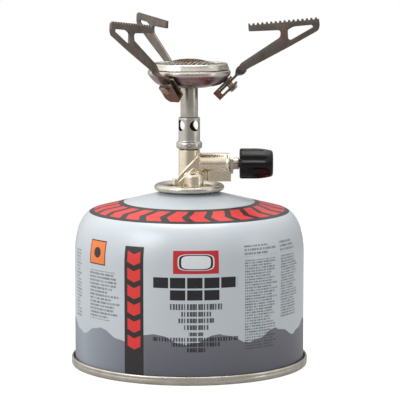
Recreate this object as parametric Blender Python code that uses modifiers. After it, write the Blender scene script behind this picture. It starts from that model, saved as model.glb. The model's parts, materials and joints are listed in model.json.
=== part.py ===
"""Canister stove: a small folding gas burner screwed onto a self-sealing gas canister.

Lengths below are millimetres, turned into metres by MM. Heights are measured from the surface that the
canister stands on. The origin is the centre of the flat in the middle of the canister's domed-in base,
so the standing surface lies BASE_FLAT_HEIGHT below it. The canister's axis is Z and the knob points to +X.
"""

import math

import bmesh
import bpy
from mathutils import Vector

MM = 0.001
GAP = 0.3

# Canister
CAN_RADIUS = 53.54
CAN_WALL = 0.5
SEAM_RADIUS = 55.25
SEAM_HEIGHT = 4.1
SHOULDER_FOOT = 53.13
SHOULDER_WIDTH = 9.9
SHOULDER_RISE = 19.44
CONE_TOP_RADIUS = 15.5
CONE_TOP_HEIGHT = 79.98
BASE_FLAT_HEIGHT = 10.0
BASE_FLAT_RADIUS = 8.0
SHEET = 0.6
CAN_SIDES = 32

# Canister valve, of the 7/16 inch screw type
CURL_RADIUS = 16.3
CURL_TOP = 84.55
CUP_WALL_RADIUS = 11.8
CUP_FLOOR = 76.8
NECK_RADIUS = 5.55
NECK_TOP = 82.0
PLUNGER_TOP = 80.2
CAGE_BOTTOM = 66.0

# Upright of the stove
UPRIGHT_RADIUS = 4.95
UPRIGHT_TOP = 100.4
SPIGOT_RADIUS = 4.05
SPIGOT_TOP = 104.0
SKIRT_RADIUS = 9.0
SKIRT_BOTTOM = 77.4
SKIRT_TOP = 82.9
SEAL_HOUSE_RADIUS = 6.9
SEAL_HOUSE_TOP = 85.4
COLLAR_RADIUS = 5.0
COLLAR_BORE = 4.36
COLLAR_TOP = 115.4
BEAD_RADIUS = 5.95
BEAD_BOTTOM = 100.7
BEAD_TOP = 104.6
AIR_HOLE_RADIUS = 2.6
AIR_HOLE_HEIGHT = 111.75
AIR_HOLE_AZIMUTH = 34.0
TUBE_RADIUS = 4.06
TUBE_BORE = 3.5

# Gas valve, lying along X
VALVE_HEIGHT = 93.8
HOUSING_RADIUS = 5.0
HOUSING_END = 18.6
NEEDLE_BORE = 3.0
GLAND_BORE = 3.9
NUT_END = 20.5
STEM_RADIUS = 2.7
KNOB_START = 23.4
KNOB_END = 38.9
KNOB_RADIUS = 7.05
KNOB_FLUTES = 8

# Burner
BOWL_RADIUS = 19.3
BOWL_BOTTOM = 129.5
BOWL_LIP = 137.4
RIM_RADIUS = 18.3
RIM_TOP = 140.6
MESH_TOP = 142.4

# Pot arms: the hinge plane leans 45 degrees, so that an arm swings from out and up to alongside the tube
ARM_AZIMUTHS = (-2.5, 117.5, 237.5)
PIVOT_RADIUS = 18.2
PIVOT_HEIGHT = 131.3
HINGE_LEAN = 45.0
ARM_THICKNESS = 1.0
ARM_OFFSET = -2.5
TOOTH_COUNT = 16
TOOTH_DEPTH = 0.9
BRACKET_SHEET = 0.9
BRACKET_LOW_SIDE = -2.9
BRACKET_HIGH_SIDE = 4.1
BRACKET_IN = -8.4
BRACKET_OUT = 3.0
BRACKET_BACK = 1.6
BRACKET_FRONT = -2.8
BRACKET_TAPER = (-6.3, -1.4)
BLADE_HALF_WIDTH = 2.7
TONGUE_END = -5.6
RIVET_RADIUS = 1.5


def clear_scene():
    for obj in list(bpy.data.objects):
        bpy.data.objects.remove(obj)


def new_collection(name):
    collection = bpy.data.collections.new(name)
    bpy.context.scene.collection.children.link(collection)
    return collection


clear_scene()
PARTS = new_collection("canister_stove")
CUTTERS = new_collection("cutters")
CUTTERS.hide_render = True


def material(name, color, roughness, metallic):
    mat = bpy.data.materials.new(name)
    mat.use_nodes = True
    shader = mat.node_tree.nodes["Principled BSDF"]
    shader.inputs["Base Color"].default_value = (*color, 1.0)
    shader.inputs["Roughness"].default_value = roughness
    shader.inputs["Metallic"].default_value = metallic
    mat.diffuse_color = (*color, 1.0)
    return mat


CAN_PAINT = material("can_paint", (0.62, 0.68, 0.72), 0.35, 0.3)
TINPLATE = material("tinplate", (0.62, 0.58, 0.52), 0.3, 1.0)
PLATED_BRASS = material("plated_brass", (0.74, 0.66, 0.5), 0.28, 1.0)
BARE_BRASS = material("bare_brass", (0.78, 0.6, 0.3), 0.3, 1.0)
STAINLESS = material("stainless", (0.6, 0.58, 0.54), 0.3, 1.0)
BURNT_STEEL = material("burnt_steel", (0.3, 0.26, 0.24), 0.42, 1.0)
MESH_WIRE = material("mesh_wire", (0.34, 0.27, 0.2), 0.5, 1.0)
RUBBER = material("rubber", (0.02, 0.02, 0.02), 0.6, 0.0)
KNOB_PLASTIC = material("knob_plastic", (0.015, 0.015, 0.016), 0.25, 0.0)
CAGE_PLASTIC = material("cage_plastic", (0.75, 0.74, 0.7), 0.45, 0.0)


def empty(name, parent=None, location=(0.0, 0.0, 0.0), rotation=(0.0, 0.0, 0.0)):
    """An empty at a place in millimetres, turned by angles in degrees."""
    obj = bpy.data.objects.new(name, None)
    obj.empty_display_size = 0.01
    obj.location = Vector(location) * MM
    obj.rotation_euler = [math.radians(angle) for angle in rotation]
    obj.parent = parent
    PARTS.objects.link(obj)
    return obj


FLOOR = empty("standing_surface", location=(0.0, 0.0, -BASE_FLAT_HEIGHT))
# On the valve's axis, with its own Z along the stove's +X
VALVE_AXIS = empty("valve_axis", FLOOR, (0.0, 0.0, VALVE_HEIGHT), (0.0, 90.0, 0.0))
STOVE_AXIS = empty("stove_axis", FLOOR)


def place(name, mesh, mat, parent):
    obj = bpy.data.objects.new(name, mesh)
    obj.parent = parent
    if mat is None:
        obj.display_type = "WIRE"
        obj.hide_render = True
        CUTTERS.objects.link(obj)
    else:
        mesh.materials.clear()
        mesh.materials.append(mat)
        PARTS.objects.link(obj)
    return obj


def baked(obj):
    """Turns an object's modifiers, or a curve, into a plain mesh with its loose caps welded."""
    bpy.context.view_layer.update()
    evaluated = obj.evaluated_get(bpy.context.evaluated_depsgraph_get())
    mesh = bpy.data.meshes.new_from_object(evaluated)
    work = bmesh.new()
    work.from_mesh(mesh)
    bmesh.ops.remove_doubles(work, verts=work.verts, dist=0.001 * MM)
    work.to_mesh(mesh)
    work.free()
    return mesh


def smooth(obj, angle=35.0):
    obj.data.shade_smooth()
    obj.data.set_sharp_from_angle(angle=math.radians(angle))


def settle(obj, angle=35.0):
    """Replaces an object's modifiers by their result and shades it."""
    mesh = baked(obj)
    obj.modifiers.clear()
    obj.data = mesh
    smooth(obj, angle)
    return obj


def cut(obj, cutter, operation="DIFFERENCE"):
    modifier = obj.modifiers.new(f"{operation.lower()}_{cutter.name}", "BOOLEAN")
    modifier.operation = operation
    modifier.object = cutter
    modifier.solver = "EXACT"


def turned(name, profile, mat, parent, steps=24, wall=0.0):
    """A profile of (radius, height) points turned about the parent's Z.

    The points run down the outer side. A profile that ends away from the axis is closed when wall is 0,
    and is the outer surface of a sheet of that thickness otherwise.
    """
    mesh = bpy.data.meshes.new(name)
    points = [(radius * MM, 0.0, height * MM) for radius, height in profile]
    edges = [(i, i + 1) for i in range(len(points) - 1)]
    if not wall and profile[0][0] > 0:
        edges.append((len(points) - 1, 0))
    mesh.from_pydata(points, edges, [])
    obj = place(name, mesh, mat, parent)
    screw = obj.modifiers.new("turn", "SCREW")
    screw.steps = screw.render_steps = steps
    screw.use_merge_vertices = True
    screw.merge_threshold = 0.00001
    screw.use_smooth_shade = False
    if wall:
        solidify = obj.modifiers.new("sheet", "SOLIDIFY")
        solidify.thickness = wall * MM
        solidify.offset = -1.0
        solidify.use_even_offset = True
    return settle(obj)


def rod(name, radius, low, high, parent, mat=None, at=(0.0, 0.0), sides=24):
    """A cylinder along the parent's Z from one height to another, centred at (x, y)."""
    work = bmesh.new()
    bmesh.ops.create_cone(work, cap_ends=True, segments=sides, radius1=radius * MM, radius2=radius * MM,
                          depth=(high - low) * MM)
    bmesh.ops.translate(work, verts=work.verts, vec=Vector((at[0], at[1], (low + high) / 2)) * MM)
    mesh = bpy.data.meshes.new(name)
    work.to_mesh(mesh)
    work.free()
    return place(name, mesh, mat, parent)


def box(name, low, high, parent, mat=None):
    work = bmesh.new()
    bmesh.ops.create_cube(work, size=1.0)
    size = Vector(high) - Vector(low)
    bmesh.ops.scale(work, verts=work.verts, vec=size * MM)
    bmesh.ops.translate(work, verts=work.verts, vec=(Vector(low) + Vector(high)) / 2 * MM)
    mesh = bpy.data.meshes.new(name)
    work.to_mesh(mesh)
    work.free()
    return place(name, mesh, mat, parent)


def torus(name, major, minor, height, mat, parent, steps=16, sides=6):
    ring = [(major + minor * math.cos(turn), height + minor * math.sin(turn))
            for turn in (-2 * math.pi * i / sides for i in range(sides))]
    return turned(name, ring, mat, parent, steps)


def flat(name, outlines, thickness, parent, mat=None):
    """A flat plate in the parent's XY plane: the first outline less the others, as thick each side."""
    curve = bpy.data.curves.new(name, "CURVE")
    curve.dimensions = "2D"
    curve.fill_mode = "BOTH"
    curve.extrude = thickness / 2 * MM
    for outline in outlines:
        spline = curve.splines.new("POLY")
        spline.points.add(len(outline) - 1)
        for point, (x, y) in zip(spline.points, outline):
            point.co = (x * MM, y * MM, 0.0, 1.0)
        spline.use_cyclic_u = True
    guide = bpy.data.objects.new(name + "_outline", curve)
    CUTTERS.objects.link(guide)
    mesh = baked(guide)
    mesh.name = name
    bpy.data.objects.remove(guide)
    return place(name, mesh, mat, parent)


def circle(radius, sides=24, at=(0.0, 0.0)):
    return [(at[0] + radius * math.cos(2 * math.pi * i / sides), at[1] + radius * math.sin(2 * math.pi * i / sides))
            for i in range(sides)]


def arc(centre, radii, start, end, count):
    """Points on an ellipse from one angle in degrees to another."""
    angles = [math.radians(start + (end - start) * i / count) for i in range(count + 1)]
    return [(centre[0] + radii[0] * math.cos(a), centre[1] + radii[1] * math.sin(a)) for a in angles]


# ---- canister ----


def build_canister_shell():
    shoulder = arc((CAN_RADIUS - SHOULDER_WIDTH, SHOULDER_FOOT), (SHOULDER_WIDTH, SHOULDER_RISE), 82.0, 0.0, 6)
    profile = [(13.3, 81.9), (13.3, 80.9), (13.8, 80.4), (CONE_TOP_RADIUS, CONE_TOP_HEIGHT), *shoulder,
               (CAN_RADIUS, 1.0)]
    turned("canister_body", profile, CAN_PAINT, FLOOR, steps=CAN_SIDES, wall=CAN_WALL)
    dome = [(40.0, 7.6), (24.0, 9.3), (BASE_FLAT_RADIUS, BASE_FLAT_HEIGHT), (0.0, BASE_FLAT_HEIGHT)]
    seam = [(54.9, SEAM_HEIGHT), (SEAM_RADIUS, 3.6), (SEAM_RADIUS, 0.9), (54.9, 0.25), (54.2, 0.0), (53.0, 0.0),
            (52.2, 0.6), (52.0, 4.2), (51.0, 5.2)]
    turned("canister_base", seam + dome, TINPLATE, FLOOR, steps=CAN_SIDES, wall=SHEET)


def build_canister_valve():
    curl = arc((14.05, 82.9), (CURL_RADIUS - 14.05, CURL_TOP - 82.9), 180.0, -50.0, 6)
    cup = [(2.3, NECK_TOP), (NECK_RADIUS, NECK_TOP), (NECK_RADIUS, CUP_FLOOR), (11.0, CUP_FLOOR),
           (CUP_WALL_RADIUS, CUP_FLOOR + 0.8), *curl]
    turned("valve_cup", cup, TINPLATE, FLOOR, wall=SHEET)
    gasket = [(14.6, 83.3), (14.6, 81.0), (13.7, 81.0), (13.7, 83.3)]
    turned("cup_gasket", gasket, RUBBER, FLOOR)
    cage = [(4.6, 79.5), (4.6, 75.9), (6.5, 75.9), (6.5, 74.8), (4.6, 74.8), (4.6, CAGE_BOTTOM),
            (1.0, CAGE_BOTTOM), (1.0, 67.0), (3.8, 67.0), (3.8, 79.5)]
    turned("valve_cage", cage, CAGE_PLASTIC, FLOOR, steps=16)
    seal = [(4.6, 81.1), (4.6, 79.8), (2.0, 79.8), (2.0, 81.1)]
    turned("plunger_seal", seal, RUBBER, FLOOR, steps=16)
    plunger = [(0.0, PLUNGER_TOP), (1.7, PLUNGER_TOP), (1.7, 77.7), (3.4, 77.7), (3.4, 76.2), (1.2, 76.2),
               (1.2, 72.0), (0.0, 72.0)]
    turned("valve_plunger", plunger, CAGE_PLASTIC, FLOOR, steps=16)
    build_valve_spring()


def build_valve_spring(radius=2.3, wire=0.3, low=67.6, high=75.5, turns=5, points_a_turn=8):
    curve = bpy.data.curves.new("valve_spring", "CURVE")
    curve.dimensions = "3D"
    curve.bevel_depth = wire * MM
    curve.bevel_resolution = 0
    curve.use_fill_caps = True
    spline = curve.splines.new("POLY")
    count = turns * points_a_turn
    spline.points.add(count)
    for i, point in enumerate(spline.points):
        angle = 2 * math.pi * i / points_a_turn
        height = low + (high - low) * i / count
        point.co = (radius * MM * math.cos(angle), radius * MM * math.sin(angle), height * MM, 1.0)
    guide = bpy.data.objects.new("valve_spring_path", curve)
    CUTTERS.objects.link(guide)
    mesh = baked(guide)
    bpy.data.objects.remove(guide)
    smooth(place("valve_spring", mesh, STAINLESS, FLOOR))


# ---- stove body and gas valve ----


def build_valve_body():
    body = rod("valve_body", UPRIGHT_RADIUS, SKIRT_TOP - 1.0, UPRIGHT_TOP, STOVE_AXIS, PLATED_BRASS)
    joined = [
        rod("spigot", SPIGOT_RADIUS, UPRIGHT_TOP - 1.0, SPIGOT_TOP, STOVE_AXIS),
        rod("skirt", SKIRT_RADIUS, SKIRT_BOTTOM, SKIRT_TOP, STOVE_AXIS),
        rod("seal_house", SEAL_HOUSE_RADIUS, SKIRT_TOP - 1.0, SEAL_HOUSE_TOP, STOVE_AXIS),
        rod("housing", HOUSING_RADIUS, 0.5, HOUSING_END, VALVE_AXIS),
        box("block", (8.3, -4.0, 85.8), (19.4, 4.0, 91.5), STOVE_AXIS),
        box("block_root", (3.0, -3.0, 86.2), (9.0, 3.0, 91.2), STOVE_AXIS),
        turned("boss", [(0.0, 90.8), (2.4, 90.5), (4.0, 89.5), (4.5, 88.4), (4.5, 78.4), (0.0, 78.4)], None,
               empty("boss_axis", STOVE_AXIS, (2.1, -5.6, 0.0))),
        build_rib(),
        rod("cord_eye", 1.3, 85.0, 87.2, STOVE_AXIS, at=(-6.3, -6.2), sides=16),
    ]
    for piece in joined:
        cut(body, piece, "UNION")
    removed = [
        rod("neck_bore", NECK_RADIUS + GAP, SKIRT_BOTTOM - 1.0, 84.2, STOVE_AXIS),
        rod("pin_bore", 2.5, 83.0, 88.2, STOVE_AXIS),
        rod("gas_passage", 1.2, 87.0, 100.0, STOVE_AXIS, sides=12),
        rod("jet_bore", 2.5, 99.0, SPIGOT_TOP + 1.0, STOVE_AXIS),
        rod("needle_seat", 0.6, 0.0, 6.0, VALVE_AXIS, sides=12),
        rod("needle_bore", NEEDLE_BORE, 5.3, HOUSING_END + 1.0, VALVE_AXIS),
        rod("gland_bore", GLAND_BORE, 13.9, HOUSING_END + 1.0, VALVE_AXIS),
        rod("nut_seat", 5.15, HOUSING_END, 22.0, VALVE_AXIS),
        rod("cord_hole", 0.6, 84.0, 88.0, STOVE_AXIS, at=(-6.3, -6.2), sides=12),
    ]
    for piece in removed:
        cut(body, piece)
    settle(body)


def build_rib():
    """The flat web in front of the upright, from the top of the housing down to the cord eye."""
    outline = [(4.9, 97.9), (4.1, 97.9), (-7.4, 85.8), (-7.4, 85.0), (4.9, 85.0)]
    web = flat("rib", [outline], 1.4, empty("rib_plane", STOVE_AXIS, (0.0, -4.7, 0.0), (90.0, 0.0, 0.0)))
    return web


def build_inlet():
    torus("inlet_seal", 3.9, 0.75, 83.1, RUBBER, STOVE_AXIS)
    pin = [(0.0, 85.6), (2.2, 85.6), (2.2, 84.7), (1.0, 84.7), (1.0, PLUNGER_TOP + GAP), (0.0, PLUNGER_TOP + GAP)]
    turned("inlet_pin", pin, BARE_BRASS, STOVE_AXIS, steps=16)
    rod("gas_filter", 2.2, 86.0, 87.7, STOVE_AXIS, BARE_BRASS)
    jet = [(1.4, 106.6), (1.4, 105.2), (2.2, 105.2), (2.2, 99.4), (0.4, 99.4), (0.4, 106.6)]
    turned("gas_jet", jet, BARE_BRASS, STOVE_AXIS, steps=16)


def build_valve():
    nut = rod("gland_nut", 4.85, HOUSING_END + GAP, NUT_END, VALVE_AXIS, PLATED_BRASS, sides=6)
    cut(nut, rod("nut_thread", GLAND_BORE - GAP, 14.2, NUT_END - 0.5, VALVE_AXIS), "UNION")
    cut(nut, rod("nut_bore", NEEDLE_BORE, 13.0, NUT_END + 1.0, VALVE_AXIS))
    settle(nut)
    spindle = [(0.0, 36.0), (2.0, 36.0), (2.0, KNOB_START - GAP), (STEM_RADIUS, KNOB_START - GAP),
               (STEM_RADIUS, 12.4), (1.9, 12.4), (1.9, 10.6), (STEM_RADIUS, 10.6), (STEM_RADIUS, 9.0),
               (1.0, 7.8), (0.5, 5.7), (0.0, 5.6)]
    turned("spindle", spindle, STAINLESS, VALVE_AXIS, steps=16)
    torus("spindle_o_ring", 2.5, 0.42, 11.5, RUBBER, VALVE_AXIS)
    build_knob()


def build_knob():
    crown = [(0.0, KNOB_END), (5.3, KNOB_END), (6.1, 38.2), (6.75, 35.2), (KNOB_RADIUS, 31.5),
             (KNOB_RADIUS, KNOB_START + 0.5), (6.6, KNOB_START), (2.3, KNOB_START), (2.3, 36.3), (0.0, 36.3)]
    knob = turned("control_knob", crown, KNOB_PLASTIC, VALVE_AXIS, steps=32)
    for i in range(KNOB_FLUTES):
        angle = 2 * math.pi * (i + 0.5) / KNOB_FLUTES
        at = (8.6 * math.cos(angle), 8.6 * math.sin(angle))
        cut(knob, rod(f"flute_{i + 1}", 2.0, KNOB_START - 1.0, KNOB_END + 1.0, VALVE_AXIS, at=at, sides=12))
    settle(knob)


def build_collar_and_tube():
    bead = arc((BEAD_RADIUS - 1.2, (BEAD_BOTTOM + BEAD_TOP) / 2), (1.2, (BEAD_TOP - BEAD_BOTTOM) / 2), 75.0, -75.0, 3)
    profile = [(4.7, COLLAR_TOP), (COLLAR_RADIUS, COLLAR_TOP - 0.3), (COLLAR_RADIUS, BEAD_TOP + 0.2), *bead,
               (COLLAR_BORE, BEAD_BOTTOM), (COLLAR_BORE, COLLAR_TOP)]
    collar = turned("air_collar", profile, STAINLESS, STOVE_AXIS)
    for i in range(2):
        tilt = empty(f"air_axis_{i + 1}", STOVE_AXIS, (0.0, 0.0, AIR_HOLE_HEIGHT), (90.0, 0.0, AIR_HOLE_AZIMUTH + 90.0 * i))
        cut(collar, rod(f"air_bore_{i + 1}", AIR_HOLE_RADIUS, -7.0, 7.0, tilt, sides=16))
    screw_axis = empty("collar_screw_axis", STOVE_AXIS, (0.0, 0.0, 102.9), (90.0, 0.0, 0.0))
    cut(collar, rod("collar_screw_hole", 1.05, 3.0, 7.0, screw_axis, sides=16))
    settle(collar)
    rod("collar_screw", 0.75, SPIGOT_RADIUS + 0.25, 6.1, screw_axis, STAINLESS, sides=16)
    tube = [(TUBE_RADIUS, 131.0), (TUBE_RADIUS, 114.6), (TUBE_BORE, 114.6), (TUBE_BORE, 131.0)]
    turned("mixing_tube", tube, STAINLESS, STOVE_AXIS)


# ---- burner ----


def build_burner(hinges):
    profile = [(17.6, BOWL_LIP + 0.1), (18.8, BOWL_LIP), (BOWL_RADIUS, BOWL_LIP - 0.6), (BOWL_RADIUS, 135.3),
               (18.9, 134.7), (15.4, 131.2), (14.2, 130.6), (9.2, 129.8), (8.6, BOWL_BOTTOM),
               (TUBE_RADIUS + GAP, BOWL_BOTTOM)]
    bowl = turned("burner_bowl", profile, BURNT_STEEL, STOVE_AXIS, wall=SHEET)
    for i, hinge in enumerate(hinges):
        cut(bowl, rod(f"bowl_rivet_hole_{i + 1}", RIVET_RADIUS + GAP, 0.5, 6.0, hinge))
    settle(bowl)
    rim = [(16.4, 140.2), (17.3, RIM_TOP), (18.1, 140.4), (RIM_RADIUS, 139.8), (RIM_RADIUS, BOWL_LIP + 0.5)]
    turned("burner_rim", rim, STAINLESS, STOVE_AXIS, wall=SHEET)
    disc = turned("diffuser", [(0.0, 136.6), (10.0, 136.4), (17.0, 135.7)], STAINLESS, STOVE_AXIS, wall=0.5)
    for ring_radius, count in ((5.0, 4), (11.0, 8)):
        for i in range(count):
            angle = 2 * math.pi * i / count
            at = (ring_radius * math.cos(angle), ring_radius * math.sin(angle))
            name = f"diffuser_hole_{count}_{i + 1}"
            cut(disc, rod(name, 1.2, 134.0, 138.0, STOVE_AXIS, at=at, sides=6))
    settle(disc)
    dome = [(0.0, MESH_TOP), (5.0, 142.2), (10.0, 141.4), (14.0, 140.2), (16.0, 139.3), (17.2, 138.9)]
    turned("burner_mesh", dome, MESH_WIRE, STOVE_AXIS, wall=0.5)


# ---- pot arms ----


def hinge_point(radius, height):
    """A point of the arm's upright plane, given by radius and height, in the hinge's leaning frame."""
    outward, upward = radius - PIVOT_RADIUS, height - PIVOT_HEIGHT
    lean = math.radians(HINGE_LEAN)
    return (outward * math.cos(lean) + upward * math.sin(lean), upward * math.cos(lean) - outward * math.sin(lean))


def toothed_edge(start, end):
    """A saw edge of flat-topped teeth between two points, on the teeth's tips."""
    pitch = 1.0 / (TOOTH_COUNT - 0.5)
    slope = Vector((end[0] - start[0], end[1] - start[1]))
    inward = Vector((slope.y, -slope.x)).normalized() * TOOTH_DEPTH
    points = []
    for i in range(TOOTH_COUNT):
        for share, drop in ((0.0, 0.0), (0.32, 0.0), (0.5, 1.0), (0.82, 1.0)):
            place_on_edge = (i + share) * pitch
            if place_on_edge <= 1.0:
                points.append(tuple(Vector(start) + slope * place_on_edge + inward * drop))
    return points


def arm_plate_outlines():
    """The upright plate: a toothed bar on a strut, a diagonal arm under them, and a window at the tip."""
    edge = toothed_edge((27.3, 158.9), (59.0, 161.9))
    outer = [*edge, (59.8, 161.4), (60.2, 158.0), (59.6, 155.9), (46.2, 148.3), (27.7, 138.4), (25.4, 136.9),
             (23.2, 139.9), (24.4, 141.0), (42.0, 152.7), (42.2, 155.2), (41.4, 155.9), (27.5, 155.3)]
    window = [(45.5, 156.1), (48.2, 157.6), (56.5, 158.4), (57.1, 157.4), (46.8, 151.4), (45.7, 152.0)]
    return [[hinge_point(*point) for point in outline] for outline in (outer, window)]


def blade_outline():
    """The flat blade on the pivot, with a tongue that rests on the bracket's wall when the arm is open."""
    low = BRACKET_LOW_SIDE + BRACKET_SHEET + 0.1
    heel = arc((0.0, 0.0), (BLADE_HALF_WIDTH, BLADE_HALF_WIDTH), 90.0, 150.0, 4)
    tongue = [(TONGUE_END, 1.3), (TONGUE_END, low), (-1.9, low), (-1.3, -2.3), (-0.4, -BLADE_HALF_WIDTH)]
    return [(5.0, 2.6), *heel, *tongue, (5.0, -2.6)]


def twist_mesh(name, sections=7):
    """The twisted neck: a thin section that turns a quarter turn between the blade and the plate."""
    start, end = Vector((4.2, 0.0, 0.0)), Vector((10.0, ARM_OFFSET, 0.25))
    work = bmesh.new()
    rings = []
    for i in range(sections):
        share = i / (sections - 1)
        eased = share * share * (3 - 2 * share)
        centre = start.lerp(end, share)
        centre.y = end.y * eased
        angle = math.radians(90.0) * eased
        across = Vector((0.0, math.cos(angle), -math.sin(angle)))
        across.x = 0.18 * eased
        through = Vector((0.0, math.sin(angle), math.cos(angle)))
        half_width = 2.55 + (2.1 - 2.55) * eased
        half_thickness = ARM_THICKNESS / 2 - 0.02
        corners = ((-1, -1), (1, -1), (1, 1), (-1, 1))
        rings.append([work.verts.new((centre + across * half_width * u + through * half_thickness * v) * MM)
                      for u, v in corners])
    for first, second in zip(rings, rings[1:]):
        for j in range(4):
            work.faces.new((first[j], first[(j + 1) % 4], second[(j + 1) % 4], second[j]))
    work.faces.new(rings[0])
    work.faces.new(reversed(rings[-1]))
    bmesh.ops.recalc_face_normals(work, faces=work.faces)
    mesh = bpy.data.meshes.new(name)
    work.to_mesh(mesh)
    work.free()
    return mesh


def build_arm_mesh(hinge):
    """One arm in its hinge's frame: X outward and up, Y around the burner, Z across the hinge plane."""
    arm = flat("arm_master", [blade_outline(), circle(RIVET_RADIUS + 0.1)], ARM_THICKNESS, hinge)
    upright = empty("arm_plate_plane", hinge, (0.0, ARM_OFFSET, 0.0), (90.0, 0.0, 0.0))
    cut(arm, flat("arm_plate", arm_plate_outlines(), ARM_THICKNESS, upright), "UNION")
    cut(arm, place("arm_twist", twist_mesh("arm_twist"), None, hinge), "UNION")
    mesh = baked(arm)
    mesh.name = "pot_arm"
    bpy.data.objects.remove(arm)
    return mesh


def build_bracket_mesh(hinge):
    """A folded clip: two plates with the blade between them, joined round their inner end."""
    middle_height = (BRACKET_BACK + BRACKET_FRONT) / 2
    middle = empty("bracket_middle", hinge, (0.0, 0.0, middle_height))
    end = arc((0.0, 0.0), (3.15, 3.15), -112.0, 0.0, 7)
    taper_start, end_side = BRACKET_TAPER
    outline = [(BRACKET_IN, end_side), (taper_start, BRACKET_LOW_SIDE), *end, (BRACKET_OUT, 0.5),
               (BRACKET_OUT, BRACKET_HIGH_SIDE), (BRACKET_IN, BRACKET_HIGH_SIDE)]
    clip = flat("bracket_master", [outline], BRACKET_BACK - BRACKET_FRONT, middle)
    slot = box("bracket_slot", (BRACKET_IN + BRACKET_SHEET, -9.0, BRACKET_FRONT + BRACKET_SHEET),
               (9.0, 9.0, BRACKET_BACK - BRACKET_SHEET), hinge)
    cut(clip, slot)
    wall_end, wall_side = -5.5, BRACKET_LOW_SIDE + BRACKET_SHEET
    wall = flat("bracket_wall", [[(BRACKET_IN + 0.1, end_side), (taper_start, BRACKET_LOW_SIDE),
                                  (wall_end, BRACKET_LOW_SIDE), (wall_end, wall_side), (taper_start + 0.2, wall_side),
                                  (BRACKET_IN + BRACKET_SHEET + 0.1, end_side + 0.7)]],
                BRACKET_BACK - BRACKET_FRONT - BRACKET_SHEET, middle)
    cut(clip, wall, "UNION")
    cut(clip, rod("bracket_hole", RIVET_RADIUS + 0.1, -6.0, 4.0, hinge))
    mesh = baked(clip)
    mesh.name = "arm_bracket"
    for vert in mesh.vertices:
        vert.co.z += middle_height * MM
    bpy.data.objects.remove(clip)
    return mesh


def build_arms(hinges):
    arm_mesh = build_arm_mesh(hinges[0])
    bracket_mesh = build_bracket_mesh(hinges[0])
    washer_face = BRACKET_FRONT - 0.05
    head_face = washer_face - 0.55
    rivet = [(0.0, 3.6), (1.4, 3.5), (2.2, 2.8), (RIVET_RADIUS, 2.8), (RIVET_RADIUS, head_face), (2.1, head_face),
             (2.1, head_face - 0.35), (1.4, head_face - 0.7), (0.0, head_face - 0.8)]
    washer = [(2.5, washer_face), (2.5, washer_face - 0.35), (RIVET_RADIUS + 0.15, washer_face - 0.35),
              (RIVET_RADIUS + 0.15, washer_face)]
    for i, hinge in enumerate(hinges):
        smooth(place(f"pot_arm_{i + 1}", arm_mesh.copy(), BURNT_STEEL, hinge))
        smooth(place(f"arm_bracket_{i + 1}", bracket_mesh.copy(), BURNT_STEEL, hinge))
        turned(f"pivot_rivet_{i + 1}", rivet, STAINLESS, hinge, steps=16)
        turned(f"spring_washer_{i + 1}", washer, STAINLESS, hinge, steps=16)


def arm_hinges():
    """One empty on each rivet's axis, with Z along the rivet, up and towards the burner."""
    hinges = []
    for i, azimuth in enumerate(ARM_AZIMUTHS):
        turn = math.radians(azimuth)
        place_at = (PIVOT_RADIUS * math.cos(turn), PIVOT_RADIUS * math.sin(turn), PIVOT_HEIGHT)
        hinges.append(empty(f"arm_hinge_{i + 1}", STOVE_AXIS, place_at, (0.0, -HINGE_LEAN, azimuth)))
    return hinges


build_canister_shell()
build_canister_valve()
build_valve_body()
build_inlet()
build_valve()
build_collar_and_tube()
HINGES = arm_hinges()
build_burner(HINGES)
build_arms(HINGES)
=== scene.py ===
import json
import math

import bmesh
import bpy
from mathutils import Matrix, Vector


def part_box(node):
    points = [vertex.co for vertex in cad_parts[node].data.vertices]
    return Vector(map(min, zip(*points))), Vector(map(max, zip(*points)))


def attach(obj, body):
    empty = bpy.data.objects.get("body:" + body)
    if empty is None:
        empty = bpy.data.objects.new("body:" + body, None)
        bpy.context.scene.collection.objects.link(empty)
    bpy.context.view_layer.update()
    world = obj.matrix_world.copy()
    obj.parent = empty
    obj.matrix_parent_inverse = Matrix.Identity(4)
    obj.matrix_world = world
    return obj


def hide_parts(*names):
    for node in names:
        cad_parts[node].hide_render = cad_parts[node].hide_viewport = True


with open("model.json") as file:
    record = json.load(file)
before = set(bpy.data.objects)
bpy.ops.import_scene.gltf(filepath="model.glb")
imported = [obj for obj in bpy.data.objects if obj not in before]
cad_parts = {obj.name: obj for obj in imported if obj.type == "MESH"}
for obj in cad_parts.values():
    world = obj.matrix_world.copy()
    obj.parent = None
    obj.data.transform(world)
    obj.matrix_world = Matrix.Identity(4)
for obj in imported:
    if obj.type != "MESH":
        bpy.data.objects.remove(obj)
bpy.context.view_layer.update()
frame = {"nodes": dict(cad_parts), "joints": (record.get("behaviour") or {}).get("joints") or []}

# Shapes below are in millimetres, with heights measured from the surface that the canister stands on.
MM = 0.001
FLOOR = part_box("canister_base")[0].z
TO_ROW = Matrix.Translation((0.0, 0.0, FLOOR)) @ Matrix.Scale(MM, 4)
VALVE_HEIGHT = 93.8
# The gas valve's own Z runs along the stove's X.
VALVE = Matrix.Translation((0.0, 0.0, VALVE_HEIGHT)) @ Matrix.Rotation(math.radians(90.0), 4, "Y")
JOINTS = {joint["name"]: joint for joint in frame["joints"]}
ARMS = (1, 2, 3)
# Radius and height of the rivets that the arms turn on
PIVOT = (18.2, 131.3)
# Half of the arms' thickness, and how far their upright plate stands beside the middle of the hinge
ARM_HALF = 0.5
ARM_OFFSET = -2.5
# A radius below this is on the axis.
ON_AXIS = 1e-6


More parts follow.
